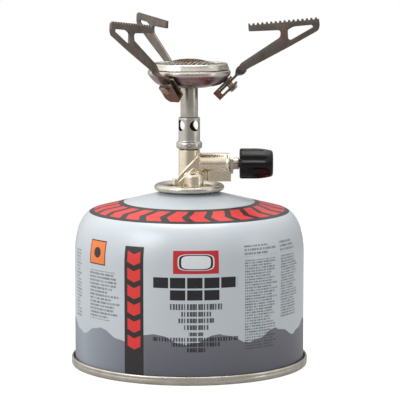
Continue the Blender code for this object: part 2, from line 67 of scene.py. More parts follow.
def hinge_matrix(number):
    """An arm's hinge frame in millimetres: X outward and up in the hinge plane, Z along the rivet."""
    joint = JOINTS[f"arm_fold_{number}"]
    place = Vector(joint["pos_m"]) - Vector((0.0, 0.0, FLOOR))
    z_axis = -Vector(joint["axis"]).normalized()
    y_axis = Vector((-place.y, place.x, 0.0)).normalized()
    x_axis = y_axis.cross(z_axis)
    turn = Matrix((x_axis, y_axis, z_axis)).transposed().to_4x4()
    return Matrix.Translation(place / MM) @ turn


# ---- shapes ----


def rounded(points, radius, count=3, closed=True):
    """The polyline with each corner off the axis replaced by a small curve.

    radius is a number, or a list with one for each point. An open polyline keeps its two ends.
    """
    radii = radius if isinstance(radius, list) else [radius] * len(points)
    longest = 0.45  # the share of a side that the curve at one corner may take
    made = []
    last = len(points) - 1
    for i, point in enumerate(points):
        if (not closed and i in (0, last)) or abs(point[0]) < ON_AXIS:
            made.append(tuple(point))
            continue
        here, before, after = Vector(point), Vector(points[i - 1]), Vector(points[(i + 1) % len(points)])
        start = here + (before - here).normalized() * min(radii[i], longest * (before - here).length)
        end = here + (after - here).normalized() * min(radii[i], longest * (after - here).length)
        for j in range(count + 1):
            share = j / count
            made.append(tuple(start.lerp(here, share).lerp(here.lerp(end, share), share)))
    return made


def sheet(points, thickness):
    """A closed profile: a polyline that runs down the outer side, and its copy one thickness further in."""
    outer = [Vector(point) for point in points]
    inner = []
    for i, here in enumerate(outer):
        ways = []
        if i:
            ways.append((here - outer[i - 1]).normalized())
        if i < len(outer) - 1:
            ways.append((outer[i + 1] - here).normalized())
        way = sum(ways, Vector((0.0, 0.0))).normalized()
        mitre = thickness / max(0.5, way.dot(ways[0]))
        moved = here + Vector((way.y, -way.x)) * mitre
        if abs(here.x) < ON_AXIS:
            moved.x = 0.0
        inner.append(moved)
    return [tuple(p) for p in outer] + [tuple(p) for p in reversed(inner)]


def arc(centre, radii, start, end, count):
    """Points on an ellipse from one angle in degrees to another."""
    angles = [math.radians(start + (end - start) * i / count) for i in range(count + 1)]
    return [(centre[0] + radii[0] * math.cos(a), centre[1] + radii[1] * math.sin(a)) for a in angles]


def lathe(profile, steps=128, closed=True, shaped=None):
    """A profile of (radius, height) turned about Z. shaped(radius, height, angle) may change the radius."""
    work = bmesh.new()
    poles = {i: work.verts.new((0.0, 0.0, height))
             for i, (radius, height) in enumerate(profile) if radius < ON_AXIS}
    columns = []
    for step in range(steps):
        turn = 2 * math.pi * step / steps
        column = []
        for i, (radius, height) in enumerate(profile):
            if i in poles:
                column.append(poles[i])
                continue
            reach = shaped(radius, height, turn) if shaped else radius
            column.append(work.verts.new((reach * math.cos(turn), reach * math.sin(turn), height)))
        columns.append(column)
    count = len(profile) if closed else len(profile) - 1
    for step in range(steps):
        here, there = columns[step], columns[(step + 1) % steps]
        for i in range(count):
            j = (i + 1) % len(profile)
            corners = []
            for vert in (here[i], here[j], there[j], there[i]):
                if vert not in corners:
                    corners.append(vert)
            if len(corners) > 2:
                work.faces.new(corners)
    bmesh.ops.recalc_face_normals(work, faces=work.faces)
    return work


def prism(outline, low, high):
    """An outline in the XY plane raised from one height to another."""
    work = bmesh.new()
    rings = [[work.verts.new((x, y, z)) for x, y in outline] for z in (low, high)]
    work.faces.new(list(reversed(rings[0])))
    work.faces.new(rings[1])
    for i in range(len(outline)):
        j = (i + 1) % len(outline)
        work.faces.new((rings[0][i], rings[0][j], rings[1][j], rings[1][i]))
    bmesh.ops.recalc_face_normals(work, faces=work.faces)
    return work


def tube(points, radius, sides=6, loop=False):
    """A round wire along points, with closed ends."""
    work = bmesh.new()
    rings = []
    normal = None
    for i, point in enumerate(points):
        here = Vector(point)
        before = Vector(points[i - 1]) if i or loop else here
        after = Vector(points[(i + 1) % len(points)]) if i < len(points) - 1 or loop else here
        way = (after - before).normalized()
        if normal is None:
            normal = way.orthogonal().normalized()
        normal = (normal - way * normal.dot(way)).normalized()
        across = way.cross(normal)
        rings.append([work.verts.new(here + (normal * math.cos(a) + across * math.sin(a)) * radius)
                      for a in (2 * math.pi * k / sides for k in range(sides))])
    pairs = list(zip(rings, rings[1:]))
    if loop:
        pairs.append((rings[-1], rings[0]))
    else:
        work.faces.new(rings[0])
        work.faces.new(rings[-1])
    for first, second in pairs:
        for k in range(sides):
            work.faces.new((first[k], first[(k + 1) % sides], second[(k + 1) % sides], second[k]))
    bmesh.ops.recalc_face_normals(work, faces=work.faces)
    return work


def joined(*works):
    """One bmesh that holds several."""
    whole = bmesh.new()
    for work in works:
        mesh = bpy.data.meshes.new("joining")
        work.to_mesh(mesh)
        work.free()
        whole.from_mesh(mesh)
        bpy.data.meshes.remove(mesh)
    return whole


def as_object(name, work, matrix=Matrix.Identity(4)):
    """The bmesh as an object in millimetres, placed by matrix."""
    work.transform(matrix)
    mesh = bpy.data.meshes.new(name)
    work.to_mesh(mesh)
    work.free()
    obj = bpy.data.objects.new(name, mesh)
    bpy.context.scene.collection.objects.link(obj)
    return obj


def combined(obj, steps):
    """The object after Booleans with other objects, one after another. The others are removed."""
    for operation, other in steps:
        modifier = obj.modifiers.new(operation, "BOOLEAN")
        modifier.operation = operation
        modifier.object = other
        modifier.solver = "EXACT"
        apply_modifiers(obj)
        bpy.data.objects.remove(other)
    return obj


def apply_modifiers(obj):
    """Replaces the object's mesh by what its modifiers make of it."""
    bpy.context.view_layer.update()
    mesh = bpy.data.meshes.new_from_object(obj.evaluated_get(bpy.context.evaluated_depsgraph_get()))
    obj.modifiers.clear()
    obj.data = mesh


def cast(obj, voxel, relax):
    """Turns sharp joins into the small fillets of a cast and tumbled piece."""
    remesh = obj.modifiers.new("cast", "REMESH")
    remesh.mode = "VOXEL"
    remesh.voxel_size = voxel
    soften = obj.modifiers.new("tumbled", "SMOOTH")
    soften.factor = 0.5
    soften.iterations = relax
    apply_modifiers(obj)


def piece(obj, material, body, replaced=(), bevel=0.0, angle=32.0):
    """Finishes an object made in millimetres as a visual piece that rides on a CAD body."""
    obj.data.transform(TO_ROW)
    obj.data.materials.clear()
    obj.data.materials.append(material)
    if bevel:
        modifier = obj.modifiers.new("edges", "BEVEL")
        modifier.width = bevel * MM
        modifier.segments = 2
        modifier.limit_method = "ANGLE"
        modifier.angle_limit = math.radians(angle)
        apply_modifiers(obj)
    obj.data.shade_smooth()
    obj.data.set_sharp_from_angle(angle=math.radians(angle))
    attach(obj, body)
    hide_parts(*replaced)


# ---- materials ----


class Nodes:
    """A node tree, and short names for adding linked nodes to it."""

    def __init__(self, tree):
        self.tree = tree

    def node(self, kind, inputs=None, **settings):
        made = self.tree.nodes.new(kind)
        for name, value in settings.items():
            setattr(made, name, value)
        for name, value in (inputs or {}).items():
            self.put(value, made.inputs[name])
        return made

    def put(self, value, socket):
        if isinstance(value, bpy.types.NodeSocket):
            self.tree.links.new(value, socket)
        else:
            socket.default_value = value

    def maths(self, operation, *values):
        return self.node("ShaderNodeMath", dict(enumerate(values)), operation=operation).outputs[0]

    def spread(self, value, low, high, to_low=0.0, to_high=1.0, **settings):
        inputs = {"Value": value, "From Min": low, "From Max": high, "To Min": to_low, "To Max": to_high}
        return self.node("ShaderNodeMapRange", inputs, **settings).outputs["Result"]


class Graph(Nodes):
    """A material with a Principled shader, and short names for the nodes that feed it."""

    def __init__(self, name, metallic=0.0, **uniform):
        self.material = bpy.data.materials.new(name)
        self.material.use_nodes = True
        super().__init__(self.material.node_tree)
        self.shader = self.tree.nodes["Principled BSDF"]
        self.shader.inputs["Metallic"].default_value = metallic
        sockets = {socket.name.lower(): socket for socket in self.shader.inputs}
        for socket, value in uniform.items():
            sockets[socket.replace("_", " ")].default_value = value
        self.place = self.node("ShaderNodeTexCoord").outputs["Object"]

    def put_colour(self, value, socket):
        self.put(value if isinstance(value, bpy.types.NodeSocket) else (*value, 1.0), socket)

    def axes(self):
        split = self.node("ShaderNodeSeparateXYZ", {"Vector": self.place})
        return split.outputs["X"], split.outputs["Y"], split.outputs["Z"]

    def hypot(self, x, y):
        squares = [self.maths("MULTIPLY", value, value) for value in (x, y)]
        return self.maths("SQRT", self.maths("ADD", *squares))

    def above_floor(self, z):
        """Height above the floor in millimetres."""
        return self.maths("DIVIDE", self.maths("SUBTRACT", z, FLOOR), MM)

    def noise(self, scale, detail=3.0, roughness=0.55, vector=None):
        inputs = {"Vector": vector or self.place, "Scale": scale, "Detail": detail, "Roughness": roughness}
        return self.node("ShaderNodeTexNoise", inputs).outputs["Fac"]

    def streaks(self, stretch):
        """Noise drawn out along the axes whose stretch is small."""
        inputs = {0: self.place, 1: stretch}
        drawn = self.node("ShaderNodeVectorMath", inputs, operation="MULTIPLY").outputs[0]
        return self.noise(1.0, 2.0, 0.6, drawn)

    def mix(self, share, first, second):
        made = self.node("ShaderNodeMix", data_type="RGBA")
        self.put(share, made.inputs[0])
        self.put_colour(first, made.inputs[6])
        self.put_colour(second, made.inputs[7])
        return made.outputs[2]

    def stripe(self, value, low, high):
        """1 where value lies between low and high."""
        return self.maths("COMPARE", value, (low + high) / 2, (high - low) / 2)

    def both(self, *masks):
        mask = masks[0]
        for other in masks[1:]:
            mask = self.maths("MULTIPLY", mask, other)
        return mask

    def either(self, *masks):
        mask = masks[0]
        for other in masks[1:]:
            mask = self.maths("MAXIMUM", mask, other)
        return mask

    def finish(self, colour, roughness, relief=None, strength=0.0, distance=0.0):
        """The finished material. relief is the height of its bumps, as a share of distance in metres."""
        self.put_colour(colour, self.shader.inputs["Base Color"])
        self.put(roughness, self.shader.inputs["Roughness"])
        if relief is not None:
            inputs = {"Height": relief, "Strength": strength, "Distance": distance}
            self.put(self.node("ShaderNodeBump", inputs).outputs["Normal"], self.shader.inputs["Normal"])
        return self.material


def shaded(colour, share):
    return tuple(share * part for part in colour)


def worn_metal(name, light, dark, stretch, rough=(0.2, 0.34), strength=0.12, painted_shade_within=0.0):
    """Bare or plated metal: tool marks along one way, a cloudy tint and worn roughness.

    Given the last argument, a painted shade darkens what lies nearer the stove's axis than that many
    millimetres, as the shade inside a bore.
    """
    graph = Graph(name, metallic=1.0)
    clouds = graph.noise(140.0, 4.0)
    marks = graph.streaks(stretch)
    specks = graph.noise(2600.0, 2.0)
    tint = graph.mix(graph.spread(clouds, 0.35, 0.68), light, dark)
    tint = graph.mix(graph.spread(marks, 0.4, 0.75, 0.0, 0.35), tint, shaded(dark, 0.72))
    wear = graph.maths("ADD", clouds, graph.maths("MULTIPLY", marks, 0.5))
    roughness = graph.spread(wear, 0.5, 1.0, *rough)
    if painted_shade_within:
        # Painted shade: darkens and roughens the inside of the bore, where shade falls.
        soot_and_shade, inner_roughness, soft_edge = (0.035, 0.028, 0.022), 0.7, 0.12
        x, y, _ = graph.axes()
        inside = graph.spread(graph.hypot(x, y), (painted_shade_within - soft_edge) * MM, painted_shade_within * MM, 1.0, 0.0)
        tint = graph.mix(inside, tint, soot_and_shade)
        roughness = graph.spread(inside, 0.0, 1.0, roughness, inner_roughness)
    relief = graph.maths("ADD", marks, graph.maths("MULTIPLY", specks, 0.35))
    return graph.finish(tint, roughness, relief, strength, 0.00006)


# How often tool marks repeat, per metre along X, Y and Z
AROUND_Z = (70.0, 70.0, 5200.0)
ALONG_Z = (2600.0, 2600.0, 60.0)
EVEN = (900.0, 900.0, 900.0)


def can_paint():
    """Pale silver-blue lacquer printed with plain bars, blocks and chevrons, the same on two sides."""
    graph = Graph("can_print", metallic=0.15, coat_weight=0.12, coat_roughness=0.15)
    x, y, z = graph.axes()
    height = graph.above_floor(z)
    radius = graph.maths("DIVIDE", graph.hypot(x, y), MM)
    turn = graph.maths("DEGREES", graph.maths("ARCTAN2", x, graph.maths("MULTIPLY", y, -1.0)))
    # Degrees from the nearer of the two printed fronts, -90 to 90
    across = graph.maths("SUBTRACT", graph.maths("MODULO", graph.maths("ADD", turn, 450.0), 180.0), 90.0)
    mm_per_degree = math.radians(53.5)
    ink, title_ink, black = (0.012, 0.012, 0.016), (0.008, 0.008, 0.012), (0.016, 0.014, 0.015)
    panel_red, chevron_red = (0.5, 0.02, 0.028), (0.68, 0.03, 0.028)
    def area(left, right, low, high):
        return graph.both(graph.stripe(across, left, right), graph.stripe(height, low, high))

    def chance(cell, row):
        seed = graph.node("ShaderNodeCombineXYZ", {"X": cell, "Y": row}).outputs[0]
        return graph.node("ShaderNodeTexWhiteNoise", {"Vector": seed}, noise_dimensions="2D").outputs["Value"]

    def dashes(width, fill, row):
        """Upright dashes of uneven width, as blocks of print read from afar."""
        cells = graph.maths("DIVIDE", graph.maths("ADD", across, 90.0), width)
        cell = graph.maths("FLOOR", cells)
        ink = graph.spread(chance(cell, row), 0.0, 1.0, fill - 0.3, fill + 0.25)
        return graph.maths("LESS_THAN", graph.maths("FRACT", cells), ink)

    def lines(left, right, low, high, pitch, ragged):
        """A block of dashed lines with a ragged right edge."""
        rows = graph.maths("DIVIDE", height, pitch)
        row = graph.maths("FLOOR", rows)
        end = graph.spread(chance(row, left), 0.0, 1.0, left + (right - left) * ragged, right)
        inside = graph.both(area(left, right, low, high), graph.maths("LESS_THAN", across, end))
        printed = graph.maths("LESS_THAN", graph.maths("FRACT", rows), 0.6)
        return graph.both(inside, printed, dashes(1.0, 0.72, row))

    def rounded_bar(value, middle, half):
        """One axis of a bar with round corners: the bar is where the sum of both axes is under 1."""
        share = graph.maths("DIVIDE", graph.maths("SUBTRACT", value, middle), half)
        return graph.maths("POWER", graph.maths("ABSOLUTE", share), 4.0)

    def chevrons(along, pitch, aside, middle, slope):
        """A row of chevrons that point along it, each two thirds of the pitch wide."""
        lean = graph.maths("MULTIPLY", graph.maths("ABSOLUTE", graph.maths("SUBTRACT", aside, middle)), slope)
        steps = graph.maths("FRACT", graph.maths("SUBTRACT", graph.maths("DIVIDE", along, pitch), lean))
        return graph.maths("LESS_THAN", steps, 0.66)

    patches = graph.spread(graph.noise(30.0, 2.0), 0.3, 0.7)
    lacquer = graph.mix(patches, (0.5, 0.545, 0.59), (0.535, 0.58, 0.62))
    # Grey lower part, darker towards the bottom, with a painted highlight that makes it paler to the left;
    # its upper edge is a wide and a narrow zigzag added up
    wide = graph.maths("PINGPONG", graph.maths("ADD", across, 97.0), 16.0)
    narrow = graph.maths("PINGPONG", graph.maths("ADD", across, 94.0), 5.5)
    zigzag = graph.maths("ADD", wide, graph.maths("MULTIPLY", narrow, 0.55))
    edge = graph.maths("ADD", graph.maths("MULTIPLY", zigzag, 0.34), 17.4)
    grey = graph.mix(graph.spread(height, 4.0, 24.0), (0.115, 0.117, 0.148), (0.15, 0.153, 0.185))
    # Painted highlight: the grey is made paler on the left side, where the light falls.
    lit_side = graph.both(graph.spread(across, -62.0, -20.0, 0.75, 0.0), graph.spread(across, -88.0, -66.0))
    grey = graph.mix(lit_side, grey, (0.33, 0.38, 0.44))
    colour = graph.mix(graph.maths("LESS_THAN", height, edge), lacquer, grey)

    # Small print. Each block has its left and right in degrees, its bottom and top in millimetres, the pitch
    # of its lines, and the least share of its width that a line takes.
    small = graph.either(
        lines(-57.0, -35.5, 26.5, 49.0, 1.62, 0.45),
        lines(28.0, 48.0, 15.0, 55.5, 1.25, 0.75),
        lines(51.0, 67.0, 27.5, 56.0, 1.25, 0.75),
        lines(28.0, 48.0, 57.0, 62.0, 1.7, 0.6),
        lines(51.0, 67.0, 57.0, 62.5, 1.7, 0.6),
        lines(-75.0, -66.0, 25.0, 57.0, 1.5, 0.6),
    )
    colour = graph.mix(graph.both(small, 0.72), colour, (0.05, 0.055, 0.065))
    # Centred lines, each with half its width in degrees, its bottom and its top
    middle = 3.4
    centred = graph.either(*(area(middle - half, middle + half, low, high) for half, low, high in (
        (12.8, 34.1, 36.8), (7.3, 31.1, 33.3), (8.7, 28.2, 30.3), (6.0, 25.1, 27.3), (3.5, 22.3, 24.0),
        (20.9, 19.8, 21.6), (11.8, 17.5, 19.4), (4.9, 15.0, 16.9))))
    colour = graph.mix(graph.both(centred, dashes(1.35, 0.7, 3.0), 0.88), colour, ink)
    title = graph.either(area(-17.2, 23.9, 43.8, 48.6), area(-9.0, 15.5, 38.4, 43.0))
    cells = graph.maths("DIVIDE", graph.maths("ADD", across, 99.2), 8.2)
    blocks = graph.maths("LESS_THAN", graph.maths("FRACT", cells), 0.9)
    colour = graph.mix(graph.both(title, blocks), colour, title_ink)

    # Red panel with a plain light bar
    colour = graph.mix(area(-7.5, 14.5, 50.3, 60.6), colour, panel_red)
    bar = graph.maths("ADD", rounded_bar(across, 3.5, 8.8), rounded_bar(height, 55.45, 3.7))
    colour = graph.mix(graph.maths("LESS_THAN", bar, 1.0), colour, (0.7, 0.73, 0.76))
    colour = graph.mix(graph.stripe(bar, 0.42, 0.74), colour, ink)

    # Orange square with a plain disc
    colour = graph.mix(area(-57.0, -44.8, 51.6, 62.6), colour, (0.02, 0.012, 0.01))
    colour = graph.mix(area(-56.4, -45.4, 52.1, 62.1), colour, (0.82, 0.2, 0.035))
    aside = graph.maths("MULTIPLY", graph.maths("SUBTRACT", across, -50.9), mm_per_degree)
    above = graph.maths("SUBTRACT", height, 57.1)
    disc = graph.maths("ADD", graph.maths("MULTIPLY", aside, aside), graph.maths("MULTIPLY", above, above))
    colour = graph.mix(graph.maths("LESS_THAN", disc, 5.8), colour, (0.012, 0.01, 0.01))

    # Black upright stripe with red chevrons
    colour = graph.mix(area(-32.6, -22.2, 0.0, 61.7), colour, black)
    row = graph.both(area(-30.9, -23.9, 14.5, 60.2), chevrons(height, 7.6, across, -27.3, 0.055))
    colour = graph.mix(row, colour, chevron_red)

    # Black band round the shoulder with red chevrons
    shoulder = graph.maths("GREATER_THAN", height, 64.0)
    colour = graph.mix(graph.both(graph.stripe(radius, 30.6, 46.6), shoulder), colour, black)
    steps = chevrons(graph.maths("ADD", turn, 360.0), 14.4, radius, 39.8, 0.05)
    colour = graph.mix(graph.both(graph.stripe(radius, 33.0, 44.5), shoulder, steps), colour, chevron_red)

    scuffs = graph.spread(graph.noise(420.0, 5.0, 0.7), 0.62, 0.8)
    colour = graph.mix(graph.both(scuffs, 0.12), colour, (0.5, 0.5, 0.5))
    roughness = graph.spread(graph.noise(55.0, 4.0), 0.3, 0.7, 0.34, 0.44)
    peel = graph.noise(900.0, 2.0)
    return graph.finish(colour, roughness, peel, 0.06, 0.00008)


def burnt_sheet(name, dark, light, brown, brown_from, brown_to):
    """Sheet steel browned by the flame near the burner.

    The browning fades outward along the arm, from brown_from to brown_to in millimetres from the rivet.
    """
    graph = Graph(name, metallic=0.92)
    x, y, z = graph.axes()
    outward = graph.maths("SUBTRACT", graph.maths("DIVIDE", graph.hypot(x, y), MM), PIVOT[0])
    upward = graph.maths("SUBTRACT", graph.maths("DIVIDE", z, MM), PIVOT[1] + FLOOR / MM)
    along = graph.maths("MULTIPLY", graph.maths("ADD", outward, upward), math.sqrt(0.5))
    across = graph.maths("MULTIPLY", graph.maths("SUBTRACT", upward, outward), math.sqrt(0.5))
    rolled = graph.node("ShaderNodeCombineXYZ", {"X": graph.maths("MULTIPLY", along, 0.12),
                                                 "Y": graph.maths("MULTIPLY", across, 3.2)}).outputs[0]
    grain = graph.noise(1.0, 3.0, 0.6, rolled)
    clouds = graph.noise(170.0, 5.0, 0.65)
    specks = graph.noise(3200.0, 3.0, 0.7)
    tint = graph.mix(graph.spread(clouds, 0.34, 0.66), light, dark)
    warm = tuple(a * b for a, b in zip(light, (1.22, 0.93, 0.8)))
    tint = graph.mix(graph.spread(graph.noise(60.0, 2.0), 0.5, 0.72, 0.0, 0.7), tint, warm)
    near = graph.maths("ADD", along, graph.spread(clouds, 0.3, 0.7, -2.5, 2.5))
    tint = graph.mix(graph.both(graph.spread(near, brown_from, brown_to, 1.0, 0.0), 0.9), tint, brown)
    tint = graph.mix(graph.spread(specks, 0.62, 0.78, 0.0, 0.5), tint, shaded(dark, 0.35))
    tint = graph.mix(graph.spread(grain, 0.55, 0.8, 0.0, 0.25), tint, shaded(light, 1.7))
    wear = graph.maths("ADD", clouds, graph.maths("MULTIPLY", specks, 0.4))
    relief = graph.maths("ADD", grain, graph.maths("MULTIPLY", specks, 0.8))
    return graph.finish(tint, graph.spread(wear, 0.45, 0.9, 0.36, 0.56), relief, 0.22, 0.00007)


def bowl_steel():
    """Spun steel: bright at the flange, purple-brown heat tint under it and towards the tube."""
    graph = Graph("bowl_steel", metallic=1.0)
    height = graph.above_floor(graph.axes()[2])
    clouds = graph.noise(150.0, 4.0, 0.6)
    rings = graph.streaks(AROUND_Z)
    silver = graph.mix(graph.spread(clouds, 0.35, 0.7), (0.66, 0.61, 0.56), (0.5, 0.45, 0.41))
    heated = graph.mix(graph.spread(clouds, 0.36, 0.64), (0.29, 0.215, 0.2), (0.2, 0.16, 0.19))
    level = graph.maths("ADD", height, graph.spread(clouds, 0.3, 0.7, -0.5, 0.5))
    colour = graph.mix(graph.spread(level, 134.5, 135.5), heated, silver)
    colour = graph.mix(graph.spread(rings, 0.45, 0.8, 0.0, 0.35), colour, (0.12, 0.095, 0.09))
    roughness = graph.spread(clouds, 0.3, 0.7, 0.22, 0.38)
    return graph.finish(colour, roughness, rings, 0.16, 0.00006)


def gauze_wire():
    """Steel wire, oxidised brown over the middle of the flame and still bright by the rim."""
    graph = Graph("gauze_wire", metallic=0.85)
    x, y, _ = graph.axes()
    radius = graph.maths("DIVIDE", graph.hypot(x, y), MM)
    clouds = graph.noise(520.0, 4.0, 0.7)
    soot_and_shade = graph.spread(graph.noise(900.0, 2.0, 0.6), 0.5, 0.62, 0.0, 0.85)
    brown = graph.mix(graph.spread(clouds, 0.35, 0.65), (0.25, 0.15, 0.08), (0.07, 0.042, 0.025))
    bright = graph.mix(graph.spread(clouds, 0.35, 0.65), (0.45, 0.43, 0.39), (0.3, 0.28, 0.25))
    reach = graph.maths("ADD", radius, graph.spread(clouds, 0.3, 0.7, -1.5, 1.5))
    colour = graph.mix(soot_and_shade, graph.mix(graph.spread(reach, 6.5, 9.0), brown, bright), (0.03, 0.022, 0.018))
    return graph.finish(colour, graph.spread(clouds, 0.3, 0.7, 0.35, 0.6), graph.noise(4000.0), 0.2, 0.00005)


def moulded(name, light, dark, rough, grain=1400.0, strength=0.08, **uniform):
    """Moulded plastic or rubber: fine grain, with patches rubbed smoother by fingers."""
    graph = Graph(name, **uniform)
    clouds = graph.noise(210.0, 4.0)
    fine = graph.noise(grain, 3.0, 0.6)
    colour = graph.mix(graph.spread(clouds, 0.35, 0.68), light, dark)
    glint = tuple(min(1.0, 1.6 * part + 0.004) for part in light)
    colour = graph.mix(graph.spread(fine, 0.6, 0.8, 0.0, 0.25), colour, glint)
    return graph.finish(colour, graph.spread(clouds, 0.3, 0.7, *rough), fine, strength, 0.00005)


CAN_PAINT = can_paint()
TIN = worn_metal("tinplate_bright", (0.66, 0.63, 0.56), (0.53, 0.5, 0.43), AROUND_Z, (0.2, 0.33))
NICKEL = worn_metal("nickel_plate", (0.86, 0.78, 0.64), (0.74, 0.65, 0.49), EVEN, (0.2, 0.32), 0.08)
NUT_METAL = worn_metal("nut_plate", (0.66, 0.6, 0.5), (0.52, 0.46, 0.36), AROUND_Z, (0.24, 0.36))
BRASS = worn_metal("turned_brass", (0.72, 0.54, 0.26), (0.55, 0.4, 0.18), AROUND_Z, (0.22, 0.34))
STEEL = worn_metal("drawn_steel", (0.6, 0.58, 0.53), (0.46, 0.43, 0.38), ALONG_Z, (0.24, 0.36))
TURNED_STEEL = worn_metal("turned_steel", (0.62, 0.6, 0.56), (0.5, 0.47, 0.43), AROUND_Z, (0.22, 0.34))
# The inside of the collar's bore gets painted shade.
COLLAR_STEEL = worn_metal("collar_steel", (0.58, 0.56, 0.52), (0.45, 0.425, 0.39), ALONG_Z, (0.28, 0.4),
                          painted_shade_within=4.7)
STEM_STEEL = worn_metal("stem_steel", (0.52, 0.44, 0.4), (0.4, 0.33, 0.3), AROUND_Z, (0.2, 0.32))
RIM_STEEL = worn_metal("rim_steel", (0.7, 0.68, 0.63), (0.55, 0.53, 0.48), AROUND_Z, (0.18, 0.3))
SPRING_STEEL = worn_metal("spring_steel", (0.5, 0.48, 0.45), (0.36, 0.34, 0.31), EVEN, (0.26, 0.4))
ARM_STEEL = burnt_sheet("arm_sheet", (0.125, 0.108, 0.098), (0.18, 0.158, 0.142), (0.14, 0.086, 0.064),
                        1.0, 11.0)
BRACKET_STEEL = burnt_sheet("bracket_sheet", (0.14, 0.11, 0.09), (0.22, 0.18, 0.15), (0.2, 0.085, 0.045),
                            -9.0, 1.0)
RIVET_STEEL = worn_metal("rivet_steel", (0.42, 0.36, 0.31), (0.24, 0.17, 0.14), EVEN, (0.26, 0.4))
BOWL_STEEL = bowl_steel()
GAUZE = gauze_wire()
RUBBER = moulded("black_rubber", (0.022, 0.022, 0.023), (0.012, 0.012, 0.012), (0.5, 0.7), 2200.0, 0.2)
KNOB = moulded("knob_moulding", (0.006, 0.0055, 0.0055), (0.003, 0.003, 0.003), (0.2, 0.32), 1800.0, 0.05,
               specular_ior_level=0.28)
ACETAL = moulded("cage_moulding", (0.7, 0.69, 0.65), (0.6, 0.59, 0.55), (0.35, 0.5))


# ---- canister ----


def build_canister():
    """The drawn can, its domed-in base with the rolled seam, and the valve cup with the threaded neck."""
    wall, round_off, sheet_steel = 53.54, 9.9, 0.5
    shoulder = arc((wall - round_off, 53.13), (round_off, 19.44), 80.5, 0.0, 28)
    outer = rounded([(13.3, 82.3), (13.3, 81.2), (14.2, 80.3), (15.9, 79.8), shoulder[0]], 1.2, 4, False)
    shell = lathe(sheet([*outer, *shoulder[1:], (wall, 30.0), (wall, 1.0)], sheet_steel), 256)
    piece(as_object("can_shell", shell), CAN_PAINT, "canister", ["canister_body"])
    seam = [(54.15, 3.3), (54.3, 4.0), (54.75, 4.1), (55.2, 3.75), (55.25, 3.1), (55.12, 2.6), (55.25, 2.1),
            (55.25, 0.9), (54.95, 0.2), (54.2, 0.0), (53.0, 0.0), (52.3, 0.5), (52.05, 1.4), (52.0, 4.1),
            (51.2, 5.2)]
    dome = [(44.0, 6.6), (42.5, 7.25), (40.0, 7.45), (38.5, 7.55), (37.0, 7.95), (24.0, 9.25), (8.5, 9.95),
            (8.0, 10.0), (0.0, 10.0)]
    base = lathe(sheet(rounded(seam + dome, 0.6, 3, False), sheet_steel), 256)
    piece(as_object("can_base_seam", base), TIN, "canister", ["canister_base"])
    curl = arc((14.05, 82.85), (2.25, 1.7), 186.0, -58.0, 22)
    cup = [(2.3, 82.0), (5.0, 82.0), (5.55, 81.5), (5.55, 76.8), (11.0, 76.8), (11.8, 77.6), *curl]
    ring = lathe(sheet(rounded(cup[:6], 0.35, 3, False) + cup[6:], 0.55), 192, shaped=neck_thread)
    piece(as_object("can_valve_cup", ring), TIN, "canister", ["valve_cup"])


def neck_thread(radius, height, turn, pitch=0.907, depth=0.22):
    """The neck's thread, as a rise and fall of its radius along a helix."""
    if not (5.4 < radius < 5.6 and 77.2 < height < 81.6):
        return radius
    phase = height / pitch - turn / (2 * math.pi)
    return radius - depth * (1 - abs(2 * (phase % 1.0) - 1))


# ---- stove body ----


def build_valve_body():
    """The cast body: its shapes joined by Booleans, bored out, and then given the fillets of a casting."""
    skirt = rounded([(0.0, 85.4), (6.9, 85.4), (6.9, 82.9), (9.0, 82.9), (9.0, 77.4), (0.0, 77.4)], 0.35, 2,
                    False)
    body = as_object("valve_forging", lathe(skirt, 96, False))
    upright = rounded([(0.0, 104.0), (4.05, 104.0), (4.05, 100.4), (4.95, 100.4), (4.95, 82.0), (0.0, 82.0)],
                      0.2, 2, False)
    housing = rounded([(0.0, 0.5), (5.0, 0.5), (5.0, 17.0), (4.75, 17.15), (4.75, 17.5), (5.0, 17.65),
                       (5.0, 18.6), (0.0, 18.6)], 0.12, 2, False)
    corners = rounded([(8.3, -4.0), (19.4, -4.0), (19.4, 4.0), (8.3, 4.0)], [1.2, 0.5, 0.5, 1.2])
    block = prism(corners, 85.8, 91.5)
    root = prism([(3.0, -3.0), (9.0, -3.0), (9.0, 3.0), (3.0, 3.0)], 86.2, 91.2)
    crown = arc((0.0, 88.1), (4.5, 2.7), 80.0, 0.0, 10)
    boss = lathe([(0.0, 90.8), *crown, (4.5, 78.4), (0.0, 78.4)], 64, False)
    web = prism([(4.9, 97.9), (4.1, 97.9), (-7.4, 85.8), (-7.4, 85.0), (4.9, 85.0)], -0.7, 0.7)
    small_web = prism([(3.0, 92.4), (1.8, 92.4), (-4.9, 86.1), (-4.9, 84.4), (3.0, 84.4)], -0.6, 0.6)
    facing = Matrix.Rotation(math.radians(90.0), 4, "X")
    eye_place = Matrix.Translation((-6.3, -6.2, 0.0))
    steps = [
        ("UNION", as_object("upright", lathe(upright, 96, False))),
        ("UNION", as_object("housing", lathe(housing, 96, False), VALVE)),
        ("UNION", as_object("block", block)),
        ("UNION", as_object("block_root", root)),
        ("UNION", as_object("boss", boss, Matrix.Translation((2.1, -5.6, 0.0)))),
        ("UNION", as_object("web", web, Matrix.Translation((0.0, -4.7, 0.0)) @ facing)),
        ("UNION", as_object("small_web", small_web, Matrix.Translation((0.0, -7.0, 0.0)) @ facing)),
        ("UNION", as_object("eye", cylinder(1.5, 84.6, 87.3), eye_place)),
        ("DIFFERENCE", as_object("eye_hole", cylinder(0.7, 83.0, 89.0), eye_place)),
        ("DIFFERENCE", as_object("neck_bore", cylinder(5.85, 76.0, 84.2))),
        ("DIFFERENCE", as_object("pin_bore", cylinder(2.5, 83.0, 88.2))),
        ("DIFFERENCE", as_object("jet_bore", cylinder(2.5, 99.0, 106.0))),
        ("DIFFERENCE", as_object("needle_bore", cylinder(3.0, 5.3, 23.0), VALVE)),
        ("DIFFERENCE", as_object("gland_bore", cylinder(3.9, 13.9, 22.5), VALVE)),
        ("DIFFERENCE", as_object("nut_seat", cylinder(5.15, 18.6, 22.0), VALVE)),
    ]
    combined(body, steps)
    cast(body, 0.17, 4)
    piece(body, NICKEL, "stove", ["valve_body"], angle=60.0)


